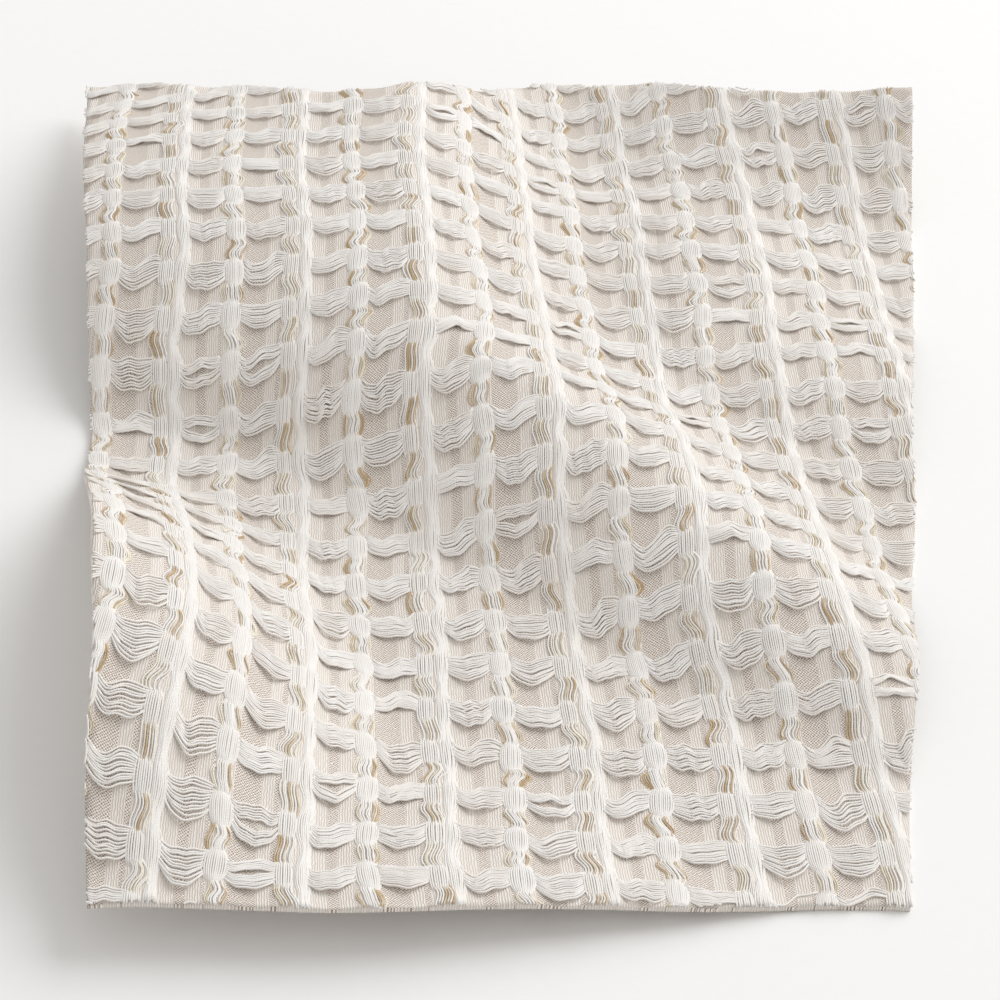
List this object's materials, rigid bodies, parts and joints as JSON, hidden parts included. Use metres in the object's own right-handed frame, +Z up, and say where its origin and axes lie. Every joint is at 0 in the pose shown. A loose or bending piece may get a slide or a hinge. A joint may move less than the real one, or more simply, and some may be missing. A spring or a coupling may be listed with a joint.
{
  "type": "waffle weave cotton blanket",
  "caption": "Cut length of ribbed waffle weave cotton blanket cloth in ivory with tan accent yarns, lying in soft folds.",
  "frame": {"origin": "centre of the overall box in plan, on the surface that the cloth lies on", "axes": "+Z up from the surface, +Y along the warp ribs towards the back edge, +X along the weft to the right"},
  "size_m": [0.178, 0.2568, 0.0288],
  "materials": {
    "cotton": "soft matt woven cotton, ivory with golden tan accent yarns"
  },
  "bodies": {
    "root": {"cloth": "cotton"}
  },
  "joints": []
}
